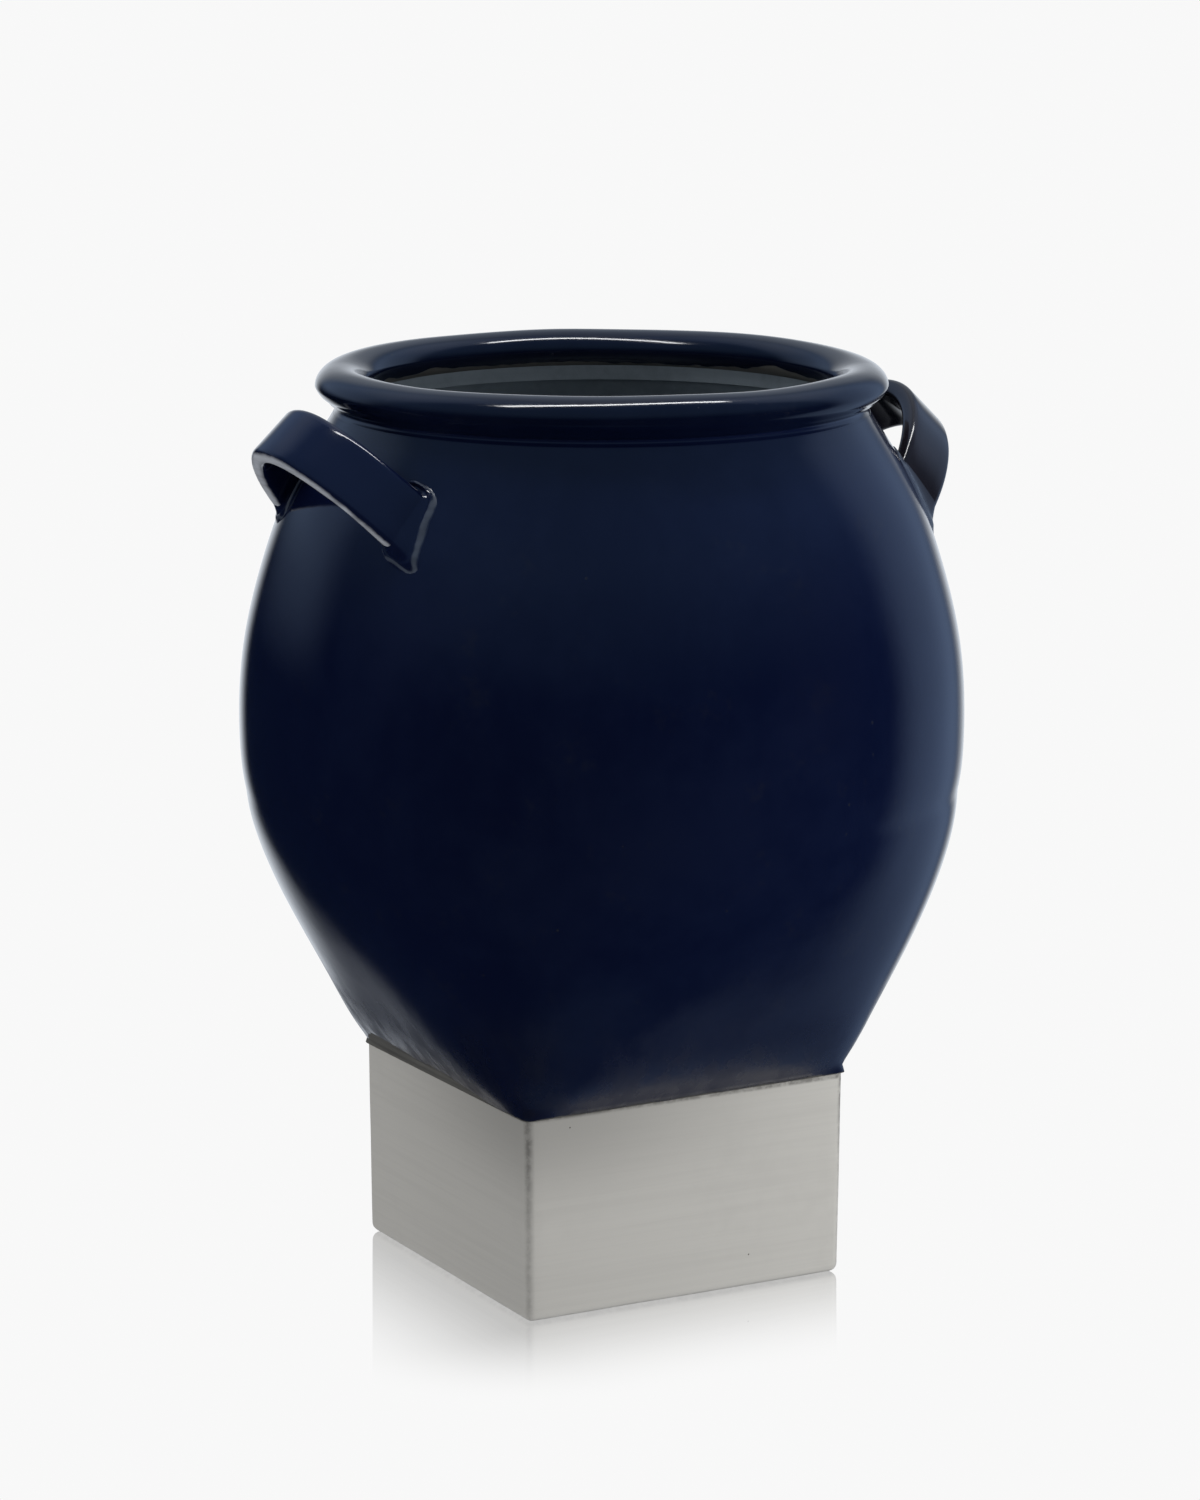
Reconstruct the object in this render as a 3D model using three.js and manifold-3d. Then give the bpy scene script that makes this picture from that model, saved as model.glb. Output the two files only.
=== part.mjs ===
// Two-handled jar on a square plinth, in millimetres, +Z up.
// The origin is the centre of the plinth's underside. The two strap handles face -X and +X.
//
// The jar is assembled as a potter assembles it: a slab-built plinth, a belly thrown in two
// sections, a neck collar, a rolled rim coil, and two strap handles fixed with coils of clay.

import * as THREE from 'three';
import { mergeVertices } from 'three/addons/utils/BufferGeometryUtils.js';
import Module from 'manifold-3d';

const wasm = await Module();
wasm.setup();

// ---------------------------------------------------------------- driving dimensions

const JOINT_GAP = 0.3; // slip joint between neighbouring pieces
const SEGMENTS = 48; // facets around a turned piece
const FACET_TOLERANCE = 0.05; // facets flatter than this are merged after a cut

const PLINTH = {
  height: 90,
  bottomHalfWidth: 77,
  topHalfWidth: 78.5,
  cornerRadius: 4,
  floorThickness: 10,
  wallThickness: 10,
};

// Half-width of the belly at each height, from the plinth's top to the neck.
const BELLY_OUTLINE = [
  [79.5, 90],
  [103.8, 121],
  [125.2, 153],
  [144.0, 184.5],
  [155.3, 211],
  [158.3, 240],
  [155.8, 281],
  [147.2, 316],
  [134.9, 348],
  [116.2, 379],
];
const BELLY_WALL = 9;
const BELLY_JOINT_HEIGHT = 240; // the two thrown sections meet at the widest point
const ROUND_FROM_HEIGHT = 214; // above this the horizontal section is a true circle
const SQUARE_CORNER_SHARE = 0.05; // corner radius over half-width, where the belly meets the plinth

const NECK = { radius: 116, wall: 12, bottom: 379, top: 384.5, waist: 1.2 };
const RIM = { radius: 112.2, halfWidth: 11.7, halfHeight: 9, height: 400, facets: 16 };

const STRAP = { width: 26.4, thickness: 8.2, edgeRadius: 3, tilt: THREE.MathUtils.degToRad(46.8) };
const HANDLES = [
  { name: 'handle_left', side: -1, centreX: 89.5, centreY: -6, centreZ: 312, chord: 122, reach: 91 },
  { name: 'handle_right', side: 1, centreX: 90, centreY: -3.5, centreZ: 307, chord: 125, reach: 90.3 },
];
const HANDLE_STEPS = 24;
const WELD = { height: 4.2, spread: 4.5 };

// ---------------------------------------------------------------- finishes

function glaze() {
  return new THREE.MeshStandardMaterial({ color: 0x0b1430, roughness: 0.12, metalness: 0 });
}

function rawClay() {
  return new THREE.MeshStandardMaterial({ color: 0x3a3b3d, roughness: 0.85, metalness: 0 });
}

function paleSlip() {
  return new THREE.MeshStandardMaterial({ color: 0x9f9d99, roughness: 0.7, metalness: 0 });
}

// ---------------------------------------------------------------- solids

function toSolid(geometry) {
  const bare = geometry.clone();
  bare.deleteAttribute('normal');
  bare.deleteAttribute('uv');
  const merged = mergeVertices(bare, 1e-4);
  return new wasm.Manifold(new wasm.Mesh({
    numProp: 3,
    vertProperties: new Float32Array(merged.attributes.position.array),
    triVerts: new Uint32Array(merged.index.array),
  }));
}

function toGeometry(solid) {
  const mesh = solid.simplify(FACET_TOLERANCE).getMesh();
  const geometry = new THREE.BufferGeometry();
  geometry.setAttribute('position', new THREE.BufferAttribute(mesh.vertProperties, 3));
  geometry.setIndex(new THREE.BufferAttribute(mesh.triVerts, 1));
  geometry.computeVertexNormals();
  return geometry;
}

function block(low, high) {
  const size = new THREE.Vector3().subVectors(high, low);
  const centre = new THREE.Vector3().addVectors(high, low).multiplyScalar(0.5);
  const geometry = new THREE.BoxGeometry(size.x, size.y, size.z);
  geometry.translate(centre.x, centre.y, centre.z);
  return toSolid(geometry);
}

// A profile of [radius, height] points, turned about +Z.
function turned(profile) {
  const points = profile.map(([radius, height]) => new THREE.Vector2(radius, height));
  const geometry = new THREE.LatheGeometry(points, SEGMENTS);
  geometry.rotateX(Math.PI / 2);
  return geometry;
}

// ---------------------------------------------------------------- belly outline

const outlineCurve = new THREE.SplineCurve(BELLY_OUTLINE.map(([x, z]) => new THREE.Vector2(x, z)));

// Points of the outline between two heights, thinned to the number of steps asked for.
function outlineBetween(low, high, steps, inset = 0) {
  const fine = outlineCurve.getPoints(400);
  const points = [];
  for (let i = 0; i <= steps; i += 1) {
    const height = low + ((high - low) * i) / steps;
    const next = Math.max(1, fine.findIndex((point) => point.y >= height - 1e-9));
    const a = fine[next - 1];
    const b = fine[next];
    const share = THREE.MathUtils.clamp((height - a.y) / (b.y - a.y), 0, 1);
    points.push([THREE.MathUtils.lerp(a.x, b.x, share) - inset, height]);
  }
  return points;
}

// Corner radius over half-width of the belly's section: small at the plinth, 1 where it is round.
function roundness(height) {
  const rise = (height - PLINTH.height) / (ROUND_FROM_HEIGHT - PLINTH.height);
  const share = Math.sqrt(THREE.MathUtils.clamp(rise, 0, 1));
  return THREE.MathUtils.lerp(SQUARE_CORNER_SHARE, 1, share);
}

// Turns each circle of a turned piece into a rounded square of the same half-width.
function squareOff(geometry) {
  const position = geometry.attributes.position;
  const side = (value) => (Math.abs(value) < 1e-6 ? 0 : Math.sign(value));
  for (let i = 0; i < position.count; i += 1) {
    const halfWidth = Math.hypot(position.getX(i), position.getY(i));
    const corner = halfWidth * roundness(position.getZ(i));
    const flat = halfWidth - corner;
    const cosine = position.getX(i) / halfWidth;
    const sine = position.getY(i) / halfWidth;
    position.setX(i, corner * cosine + flat * side(cosine));
    position.setY(i, corner * sine + flat * side(sine));
  }
  return geometry;
}

function bellySection(low, high, steps) {
  const outside = outlineBetween(low, high, steps);
  const inside = outlineBetween(low, high, steps, BELLY_WALL).reverse();
  return turned([...outside, ...inside, outside[0]]);
}

function lowerBelly() {
  const bottom = PLINTH.height + JOINT_GAP;
  return squareOff(bellySection(bottom, BELLY_JOINT_HEIGHT, 9));
}

function upperBelly() {
  const bottom = BELLY_JOINT_HEIGHT + JOINT_GAP;
  return bellySection(bottom, NECK.bottom, 8);
}

// Everything inside the shoulder's outer surface, grown outwards by an offset.
function shoulderForm(offset) {
  const low = BELLY_JOINT_HEIGHT - 40;
  const side = outlineBetween(low, NECK.bottom, 14, -offset);
  return toSolid(turned([[0, low], ...side, [0, NECK.bottom]]));
}

// ---------------------------------------------------------------- neck and rim

function neckCollar() {
  const bottom = NECK.bottom + JOINT_GAP;
  const middle = (bottom + NECK.top) / 2;
  const inner = NECK.radius - NECK.wall;
  return turned([
    [NECK.radius, bottom],
    [NECK.radius - NECK.waist, middle],
    [NECK.radius - NECK.waist, NECK.top],
    [inner, NECK.top],
    [inner, bottom],
    [NECK.radius, bottom],
  ]);
}

// The coil is an oval ring, pressed flat underneath where it sits on the collar.
function rolledRim() {
  const centre = RIM.height - RIM.halfHeight;
  const profile = [];
  for (let i = 0; i <= RIM.facets; i += 1) {
    const angle = (2 * Math.PI * i) / RIM.facets;
    profile.push([
      RIM.radius + RIM.halfWidth * Math.cos(angle),
      centre + RIM.halfHeight * Math.sin(angle),
    ]);
  }
  const reach = RIM.radius + 2 * RIM.halfWidth;
  const seat = block(
    new THREE.Vector3(-reach, -reach, NECK.bottom),
    new THREE.Vector3(reach, reach, NECK.top + JOINT_GAP),
  );
  return toGeometry(toSolid(turned(profile)).subtract(seat));
}

// ---------------------------------------------------------------- handles

// Half an ellipse, from the front foot over the crown to the back foot, in its own XY plane.
class HandleArch extends THREE.Curve {
  constructor(chord, reach) {
    super();
    this.chord = chord;
    this.reach = reach;
  }

  getPoint(share, target = new THREE.Vector3()) {
    const angle = Math.PI * share;
    const along = (-this.chord / 2) * Math.cos(angle);
    const out = this.reach * Math.sin(angle);
    return target.set(out, along, 0);
  }
}

function strapSection(grow) {
  const halfWidth = STRAP.width / 2 + grow;
  const halfThickness = STRAP.thickness / 2 + grow;
  const radius = STRAP.edgeRadius + grow;
  const shape = new THREE.Shape();
  shape.absarc(halfWidth - radius, halfThickness - radius, radius, 0, Math.PI / 2, false);
  shape.absarc(radius - halfWidth, halfThickness - radius, radius, Math.PI / 2, Math.PI, false);
  shape.absarc(radius - halfWidth, radius - halfThickness, radius, Math.PI, Math.PI * 1.5, false);
  shape.absarc(halfWidth - radius, radius - halfThickness, radius, Math.PI * 1.5, Math.PI * 2, false);
  return shape;
}

// The whole strap with its feet still running into the jar, tilted up and outwards.
function strap(handle, grow) {
  const geometry = new THREE.ExtrudeGeometry(strapSection(grow), {
    steps: HANDLE_STEPS,
    curveSegments: 2,
    extrudePath: new HandleArch(handle.chord, handle.reach),
  });
  geometry.rotateY(-STRAP.tilt);
  geometry.translate(handle.centreX, handle.centreY, handle.centreZ);
  if (handle.side < 0) {
    geometry.rotateZ(Math.PI);
    geometry.translate(0, 2 * handle.centreY, 0);
  }
  return toSolid(geometry);
}

function handleStrap(handle) {
  return toGeometry(strap(handle, 0).subtract(shoulderForm(JOINT_GAP)));
}

// The coil of clay pressed round one foot of a handle, against the shoulder.
function handleWeld(handle, end) {
  const reach = 2 * BELLY_OUTLINE[5][0];
  const middle = handle.centreY;
  const half = block(
    new THREE.Vector3(-reach, end < 0 ? -reach : middle, 0),
    new THREE.Vector3(reach, end < 0 ? middle : reach, RIM.height),
  );
  const layer = shoulderForm(JOINT_GAP + WELD.height).subtract(shoulderForm(JOINT_GAP));
  const ring = strap(handle, WELD.spread).intersect(layer).subtract(strap(handle, JOINT_GAP));
  return toGeometry(ring.intersect(half));
}

// ---------------------------------------------------------------- plinth

function squareShape(halfWidth, radius) {
  const flat = halfWidth - radius;
  const shape = new THREE.Shape();
  shape.absarc(flat, flat, radius, 0, Math.PI / 2, false);
  shape.absarc(-flat, flat, radius, Math.PI / 2, Math.PI, false);
  shape.absarc(-flat, -flat, radius, Math.PI, Math.PI * 1.5, false);
  shape.absarc(flat, -flat, radius, Math.PI * 1.5, Math.PI * 2, false);
  return shape;
}

// A square block with rounded upright corners that widens from bottom to top.
function taperedBlock(inset, radius, bottom, top) {
  const shape = squareShape(PLINTH.bottomHalfWidth - inset, radius);
  const geometry = new THREE.ExtrudeGeometry(shape, {
    depth: top - bottom,
    bevelEnabled: false,
    curveSegments: 4,
  });
  geometry.translate(0, 0, bottom);
  const widening = (PLINTH.topHalfWidth - PLINTH.bottomHalfWidth) / PLINTH.height;
  const position = geometry.attributes.position;
  for (let i = 0; i < position.count; i += 1) {
    const scale = 1 + (widening * position.getZ(i)) / PLINTH.bottomHalfWidth;
    position.setX(i, position.getX(i) * scale);
    position.setY(i, position.getY(i) * scale);
  }
  return toSolid(geometry);
}

// The base slab, with its lower edge rounded over all the way round.
function plinthFloor() {
  const radius = PLINTH.cornerRadius;
  const rounded = new THREE.ExtrudeGeometry(squareShape(PLINTH.bottomHalfWidth - radius, 0.5), {
    depth: PLINTH.floorThickness,
    bevelThickness: radius,
    bevelSize: radius,
    bevelSegments: 3,
    curveSegments: 4,
  });
  rounded.translate(0, 0, radius);
  const reach = 2 * PLINTH.topHalfWidth;
  const layer = block(
    new THREE.Vector3(-reach, -reach, 0),
    new THREE.Vector3(reach, reach, PLINTH.floorThickness),
  );
  return toGeometry(toSolid(rounded).intersect(layer));
}

// One upright slab, mitred against its two neighbours. Quarter 0 faces +X, and so on turning left.
function plinthWall(quarter) {
  const bottom = PLINTH.floorThickness + JOINT_GAP;
  const top = PLINTH.height;
  const outside = taperedBlock(0, PLINTH.cornerRadius, bottom, top);
  const inside = taperedBlock(PLINTH.wallThickness, 1, 0, 2 * top);
  const reach = 2 * PLINTH.topHalfWidth;
  const mitre = JOINT_GAP / Math.SQRT2;
  const wedge = new THREE.Shape();
  wedge.moveTo(mitre, 0);
  wedge.lineTo(reach + mitre, -reach);
  wedge.lineTo(reach + mitre, reach);
  wedge.closePath();
  const geometry = new THREE.ExtrudeGeometry(wedge, { depth: 2 * top, bevelEnabled: false });
  geometry.rotateZ((quarter * Math.PI) / 2);
  return toGeometry(outside.subtract(inside).intersect(toSolid(geometry)));
}

// ---------------------------------------------------------------- assembly

const jar = new THREE.Group();

function add(name, geometry, material) {
  const mesh = new THREE.Mesh(geometry, material);
  mesh.name = name;
  jar.add(mesh);
}

add('plinth_floor', plinthFloor(), paleSlip());
['right', 'back', 'left', 'front'].forEach((face, quarter) => {
  add(`plinth_wall_${face}`, plinthWall(quarter), paleSlip());
});
add('lower_belly', lowerBelly(), glaze());
add('upper_belly', upperBelly(), glaze());
add('neck_collar', neckCollar(), glaze());
add('rolled_rim', rolledRim(), glaze());
for (const handle of HANDLES) {
  add(handle.name, handleStrap(handle), glaze());
  add(`${handle.name}_front_weld`, handleWeld(handle, -1), glaze());
  add(`${handle.name}_back_weld`, handleWeld(handle, 1), glaze());
}

export default jar;
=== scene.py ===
"""Looks of a navy glazed amphora on a square slip-covered plinth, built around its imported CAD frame."""

import logging
import math
from dataclasses import dataclass, replace
from enum import Enum
from typing import Any, Callable, Optional, Sequence

import bmesh
import bpy
import numpy as np
from mathutils import Matrix, Vector, noise
from mathutils.bvhtree import BVHTree


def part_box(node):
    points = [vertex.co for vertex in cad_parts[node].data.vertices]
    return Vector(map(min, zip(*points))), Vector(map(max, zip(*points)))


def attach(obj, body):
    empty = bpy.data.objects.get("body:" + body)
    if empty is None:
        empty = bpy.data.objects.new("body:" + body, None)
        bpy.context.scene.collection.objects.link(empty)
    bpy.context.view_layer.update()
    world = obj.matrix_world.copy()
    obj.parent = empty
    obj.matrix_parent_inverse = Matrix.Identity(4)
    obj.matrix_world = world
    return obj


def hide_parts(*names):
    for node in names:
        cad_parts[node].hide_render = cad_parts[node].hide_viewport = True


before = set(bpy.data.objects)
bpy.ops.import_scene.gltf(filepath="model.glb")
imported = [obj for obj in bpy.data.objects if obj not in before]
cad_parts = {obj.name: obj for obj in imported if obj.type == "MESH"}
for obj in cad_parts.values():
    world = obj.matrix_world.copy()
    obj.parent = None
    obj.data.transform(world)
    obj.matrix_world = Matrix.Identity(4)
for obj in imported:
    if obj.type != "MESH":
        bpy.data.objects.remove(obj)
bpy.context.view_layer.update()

LOG = logging.getLogger("amphora")
MM = 0.001
FULL_TURN = 2 * math.pi
JOINT_GAP = 0.3 * MM
SAME_PLACE = 1e-6
SIGHT = 40 * MM
Colour = tuple[float, float, float, float]
WHITE: Colour = (1, 1, 1, 1)
Rule = Callable[[Vector], Vector]
Piece = bpy.types.Object
Ring = list[bmesh.types.BMVert]


def corner_of(*nodes: str) -> tuple[Vector, Vector]:
    """Find the box round some CAD nodes.

    Args:
        nodes: their names.

    Returns:
        Its lowest and its highest corner, in metres.
    """
    boxes = [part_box(node) for node in nodes]
    low = Vector([min(box[0][axis] for box in boxes) for axis in range(3)])
    high = Vector([max(box[1][axis] for box in boxes) for axis in range(3)])
    return low, high


def blend(low: float, high: float, share: float) -> float:
    """Return the value that lies a share of the way from low to high."""
    return low + (high - low) * share


def ease(low: float, high: float, value: float) -> float:
    """Return 0 below low, 1 above high, and a smooth step between them."""
    share = min(1.0, max(0.0, (value - low) / (high - low)))
    return share * share * (3 - 2 * share)
def shade(colour: Colour, share: float) -> Colour:
    """Return a colour with only a share of its light."""
    return tuple(share * part for part in colour[:3]) + (1,)

# ---------------------------------------------------------------- shaping


class SmoothCurve:
    """A natural cubic curve that gives one measure along another."""

    def __init__(self, stations: Sequence[tuple[float, float]]) -> None:
        """Fit the curve.

        Args:
            stations: pairs of (place, measure), places rising.
        """
        self.place = np.array([place for place, _ in stations], float)
        self.measure = np.array([measure for _, measure in stations], float)
        span = np.diff(self.place)
        slope = np.diff(self.measure) / span
        count = len(stations)
        system = np.eye(count)
        load = np.zeros(count)
        for i in range(1, count - 1):
            system[i, i - 1:i + 2] = span[i - 1], 2 * (span[i - 1] + span[i]), span[i]
            load[i] = 6 * (slope[i] - slope[i - 1])
        self.bend = np.linalg.solve(system, load)

    def at(self, place: float) -> float:
        """Read the curve.

        Args:
            place: where; past either end it keeps the end's measure.

        Returns:
            The measure there.
        """
        place = min(max(place, self.place[0]), self.place[-1])
        i = min(int(np.searchsorted(self.place, place, "right")) - 1, len(self.place) - 2)
        span = self.place[i + 1] - self.place[i]
        past = (place - self.place[i]) / span
        left = 1 - past
        cubic = (left**3 - left) * self.bend[i] + (past**3 - past) * self.bend[i + 1]
        return float(left * self.measure[i] + past * self.measure[i + 1] + cubic * span * span / 6)


@dataclass(frozen=True)
class PaddledSection:
    """How the thrown form is paddled from a circle above to a square at the crease."""

    square_height: float
    round_height: float
    corner_share: float = 0.05
    crowding: float = 0.75

    def roundness(self, height: float) -> float:
        """Return 1 where the section is a circle, and the corner share where it is square."""
        share = min(1.0, max(0.0, (height - self.square_height) / (self.round_height - self.square_height)))
        return blend(self.corner_share, 1.0, math.sqrt(share))

    def swell(self, height: float, angle: float) -> float:
        """Measure the section in one direction.

        Args:
            height: its height.
            angle: direction from the axis.

        Returns:
            The radius over the half width: 1 across the flats, most at the corners.
        """
        roundness = self.roundness(height)
        diagonal = (1 - roundness) * math.sqrt(2) + roundness
        power = 1 / (0.5 - math.log2(diagonal))
        return (abs(math.cos(angle)) ** power + abs(math.sin(angle)) ** power) ** (-1 / power)

    def crowd(self, height: float, angle: float) -> float:
        """Return the angle moved towards the nearest corner, so that corners get finer steps."""
        return angle + self.crowding * (1 - self.roundness(height)) * math.sin(4 * angle) / 4


@dataclass(frozen=True)
class HandWobble:
    """Slow unevenness that a hand leaves in clay."""

    depth: float
    length: float
    seed: float = 0.0

    def at(self, point: Vector) -> float:
        """Return how far the surface stands proud at a point."""
        shifted = point / self.length + Vector((self.seed, -self.seed, self.seed * 0.5))
        return self.depth * noise.noise(shifted)


class Clay:
    """A bmesh being shaped, with the few operations that the pieces share."""

    def __init__(self) -> None:
        """Start with nothing on the bench."""
        self.bm = bmesh.new()

    def ring(self, outer: float, inner: float, low: float, high: float, cuts: tuple[int, int],
             steps: int) -> None:
        """Turn a plain ring: four corners joined up, divided and spun about the axis.

        Args:
            outer: outer radius.
            inner: inner radius.
            low: lower height.
            high: upper height.
            cuts: cuts in the outer and in the inner wall.
            steps: steps of the turn.
        """
        corners = [(outer, low), (outer, high), (inner, high), (inner, low)]
        verts = [self.bm.verts.new((radius, 0, height)) for radius, height in corners]
        edges = [self.bm.edges.new((verts[i], verts[(i + 1) % 4])) for i in range(4)]
        for wall, count in zip((edges[0], edges[2]), cuts):
            bmesh.ops.subdivide_edges(self.bm, edges=[wall], cuts=count)
        self.spin(steps)

    def spin(self, steps: int) -> None:
        """Spin all that is there about the axis, one full turn in so many steps."""
        bmesh.ops.spin(self.bm, geom=self.bm.verts[:] + self.bm.edges[:], cent=(0, 0, 0), axis=(0, 0, 1),
                       dvec=(0, 0, 0), angle=FULL_TURN, steps=steps, use_merge=True, use_duplicate=False)

    def press(self, rule: Rule) -> None:
        """Move every vertex to where the rule puts it."""
        for vert in self.bm.verts:
            vert.co = rule(vert.co)

    def joins(self, ring: Ring) -> list[bmesh.types.BMEdge]:
        """Return the edges that join a ring's vertices up."""
        return [self.bm.edges.get((ring[i], ring[(i + 1) % len(ring)])) for i in range(len(ring))]

    def start_ring(self, places: Sequence[Vector]) -> Ring:
        """Make a capped ring in these places."""
        made = bmesh.ops.create_circle(self.bm, cap_ends=True, radius=1.0, segments=len(places))
        return self._put(made["verts"], places)

    def pull_ring(self, ring: Ring, places: Sequence[Vector]) -> Ring:
        """Extrude a closed ring.

        Args:
            ring: its vertices, in order.
            places: where the new ones go, in the same order.

        Returns:
            The new vertices.
        """
        fresh = set(bmesh.ops.extrude_edge_only(self.bm, edges=self.joins(ring))["geom"])
        pulled = [next(edge.other_vert(vert) for edge in vert.link_edges if edge.other_vert(vert) in fresh)
                  for vert in ring]
        return self._put(pulled, places)

    def cap(self, ring: Ring) -> None:
        """Close a ring with one face."""
        bmesh.ops.contextual_create(self.bm, geom=self.joins(ring))

    @staticmethod
    def _put(ring: Ring, places: Sequence[Vector]) -> Ring:
        """Move a ring's vertices to their places and return them."""
        for vert, place in zip(ring, places):
            vert.co = place
        return ring

    def tree(self) -> BVHTree:
        """Return a tree of the surface, for finding where a line meets it."""
        return BVHTree.FromBMesh(self.bm)

    def fire(self, name: str, finishes: Sequence[bpy.types.Material], crease_angle: float = 50.0) -> Piece:
        """Close the mesh, turn its faces outwards and make it an object.

        Args:
            name: the piece's name.
            finishes: its materials, by the faces' material index.
            crease_angle: edges sharper than so many degrees stay crisp.

        Returns:
            The piece, at the origin.
        """
        bmesh.ops.remove_doubles(self.bm, verts=self.bm.verts, dist=SAME_PLACE)
        bmesh.ops.recalc_face_normals(self.bm, faces=self.bm.faces)
        limit = math.radians(crease_angle)
        for face in self.bm.faces:
            face.smooth = True
        for edge in self.bm.edges:
            edge.smooth = edge.calc_face_angle(0.0) < limit
        mesh = bpy.data.meshes.new(name)
        self.bm.to_mesh(mesh)
        self.bm.free()
        for finish in finishes:
            mesh.materials.append(finish)
        piece = bpy.data.objects.new(name, mesh)
        bpy.context.scene.collection.objects.link(piece)
        return piece


def deliver(piece: Piece, slot: str, *nodes: str) -> Piece:
    """Tie a finished piece to the frame and report it.

    Args:
        piece: the piece.
        slot: a name for its finish, shown in the log.
        nodes: the CAD nodes that it stands for.

    Returns:
        The same piece.
    """
    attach(piece, "root")
    if nodes:
        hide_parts(*nodes)
    LOG.info("%s: %d faces, finish %s", piece.name, len(piece.data.polygons), slot)
    return piece


# ---------------------------------------------------------------- finishes


class Signal:
    """A value on a node sheet that can be reckoned with like a number."""

    def __init__(self, sheet: "NodeSheet", socket: bpy.types.NodeSocket) -> None:
        """Note the sheet and the output socket that the value comes from."""
        self.sheet = sheet
        self.socket = socket

    def sum(self, operation: str, *others: Any) -> "Signal":
        """Return what a Math node makes of this value and the others."""
        return self.sheet.read("Math", dict(enumerate((self, *others))), operation=operation)

    def __add__(self, other: Any) -> "Signal":
        """Return this plus the other."""
        return self.sum("ADD", other)

    def __sub__(self, other: Any) -> "Signal":
        """Return this less the other."""
        return self.sum("SUBTRACT", other)

    def __mul__(self, other: Any) -> "Signal":
        """Return this times the other."""
        return self.sum("MULTIPLY", other)

    def __truediv__(self, other: Any) -> "Signal":
        """Return this over the other."""
        return self.sum("DIVIDE", other)

    def __abs__(self) -> "Signal":
        """Return this without its sign."""
        return self.sum("ABSOLUTE")

    def most(self, other: Any) -> "Signal":
        """Return the greater of the two."""
        return self.sum("MAXIMUM", other)

    def root(self) -> "Signal":
        """Return the square root."""
        return self.sum("SQRT")

    def step(self, low: Any, high: Any, start: float = 0.0, end: float = 1.0) -> "Signal":
        """Return start up to low, end from high on, and a smooth step between them."""
        inputs = {"Value": self, "From Min": low, "From Max": high, "To Min": start, "To Max": end}
        return self.sheet.read("MapRange", inputs, "Result", interpolation_type="SMOOTHSTEP")


class NodeSheet:
    """A node tree being filled in, with short calls for adding and wiring nodes."""

    def __init__(self, tree: bpy.types.NodeTree) -> None:
        """Take over the tree of a material, a world or a group."""
        self.tree = tree

    def add(self, kind: str, inputs: Optional[dict[Any, Any]] = None, **settings: Any) -> bpy.types.Node:
        """Add a node, set it up and wire it.

        Args:
            kind: its type, without the ShaderNode prefix.
            inputs: values or signals, by input name or number.
            settings: its own properties.

        Returns:
            The new node.
        """
        node = self.tree.nodes.new("ShaderNode" + kind)
        for key, value in settings.items():
            setattr(node, key, value)
        for key, value in (inputs or {}).items():
            self.feed(node.inputs[key], value)
        return node

    def read(self, kind: str, inputs: Optional[dict[Any, Any]] = None, output: Any = 0,
             **settings: Any) -> Signal:
        """Add a node in the same way and return one of its outputs."""
        return Signal(self, self.add(kind, inputs, **settings).outputs[output])

    def feed(self, socket: bpy.types.NodeSocket, value: Any) -> None:
        """Wire a signal to an input, or set the input to a plain value."""
        if isinstance(value, Signal):
            self.tree.links.new(value.socket, socket)
        else:
            socket.default_value = value

    def mix(self, share: Any, first: Any, second: Any) -> Signal:
        """Return two colours mixed, with so large a share of the second."""
        return self.read("Mix", {"Factor": share, 6: first, 7: second}, 2, data_type="RGBA")

    def noise(self, vector: Signal, scale: Any, detail: float = 3.0, roughness: float = 0.6) -> Signal:
        """Return cloudy noise, about 0.5 on average, with so many clouds to the metre."""
        inputs = {"Vector": vector, "Scale": scale, "Detail": detail, "Roughness": roughness}
        return self.read("TexNoise", inputs)

    def axes(self, vector: Signal) -> tuple[Signal, ...]:
        """Return a vector's three parts."""
        return tuple(Signal(self, part) for part in self.add("SeparateXYZ", {0: vector}).outputs)

    def point(self) -> Signal:
        """Return the Object coordinates."""
        return self.read("TexCoord", output="Object")

    def dot(self, vector: Signal, direction: Vector) -> Signal:
        """Return how far a vector reaches in a direction."""
        return self.read("VectorMath", {0: vector, 1: direction}, "Value", operation="DOT_PRODUCT")

    def drawn(self, vector: Signal, share: float) -> Signal:
        """Return a vector with only a share of its height, which draws a noise out into runs."""
        return self.read("Mapping", {"Vector": vector, "Scale": (1, 1, share)})


class FinishSheet(NodeSheet):
    """The node sheet of a new material."""

    def __init__(self, name: str) -> None:
        """Start the material."""
        self.material = bpy.data.materials.new(name)
        self.material.use_nodes = True
        super().__init__(self.material.node_tree)

    def finish(self, colour: Signal, rough: Signal, height: Signal, strength: float, depth: float = 0.5 * MM,
               **more: float) -> bpy.types.Material:
        """Wire the shader.

        Args:
            colour: its colour.
            rough: its roughness.
            height: its relief.
            strength: how strongly the relief shows.
            depth: the relief's depth.
            more: plain values for its other inputs.

        Returns:
            The finished material.
        """
        bump = self.read("Bump", {"Height": height, "Strength": strength, "Distance": depth})
        shader = self.tree.nodes["Principled BSDF"]
        for name, value in {"Base Color": colour, "Roughness": rough, "Normal": bump, **more}.items():
            self.feed(shader.inputs[name], value)
        return self.material


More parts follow.
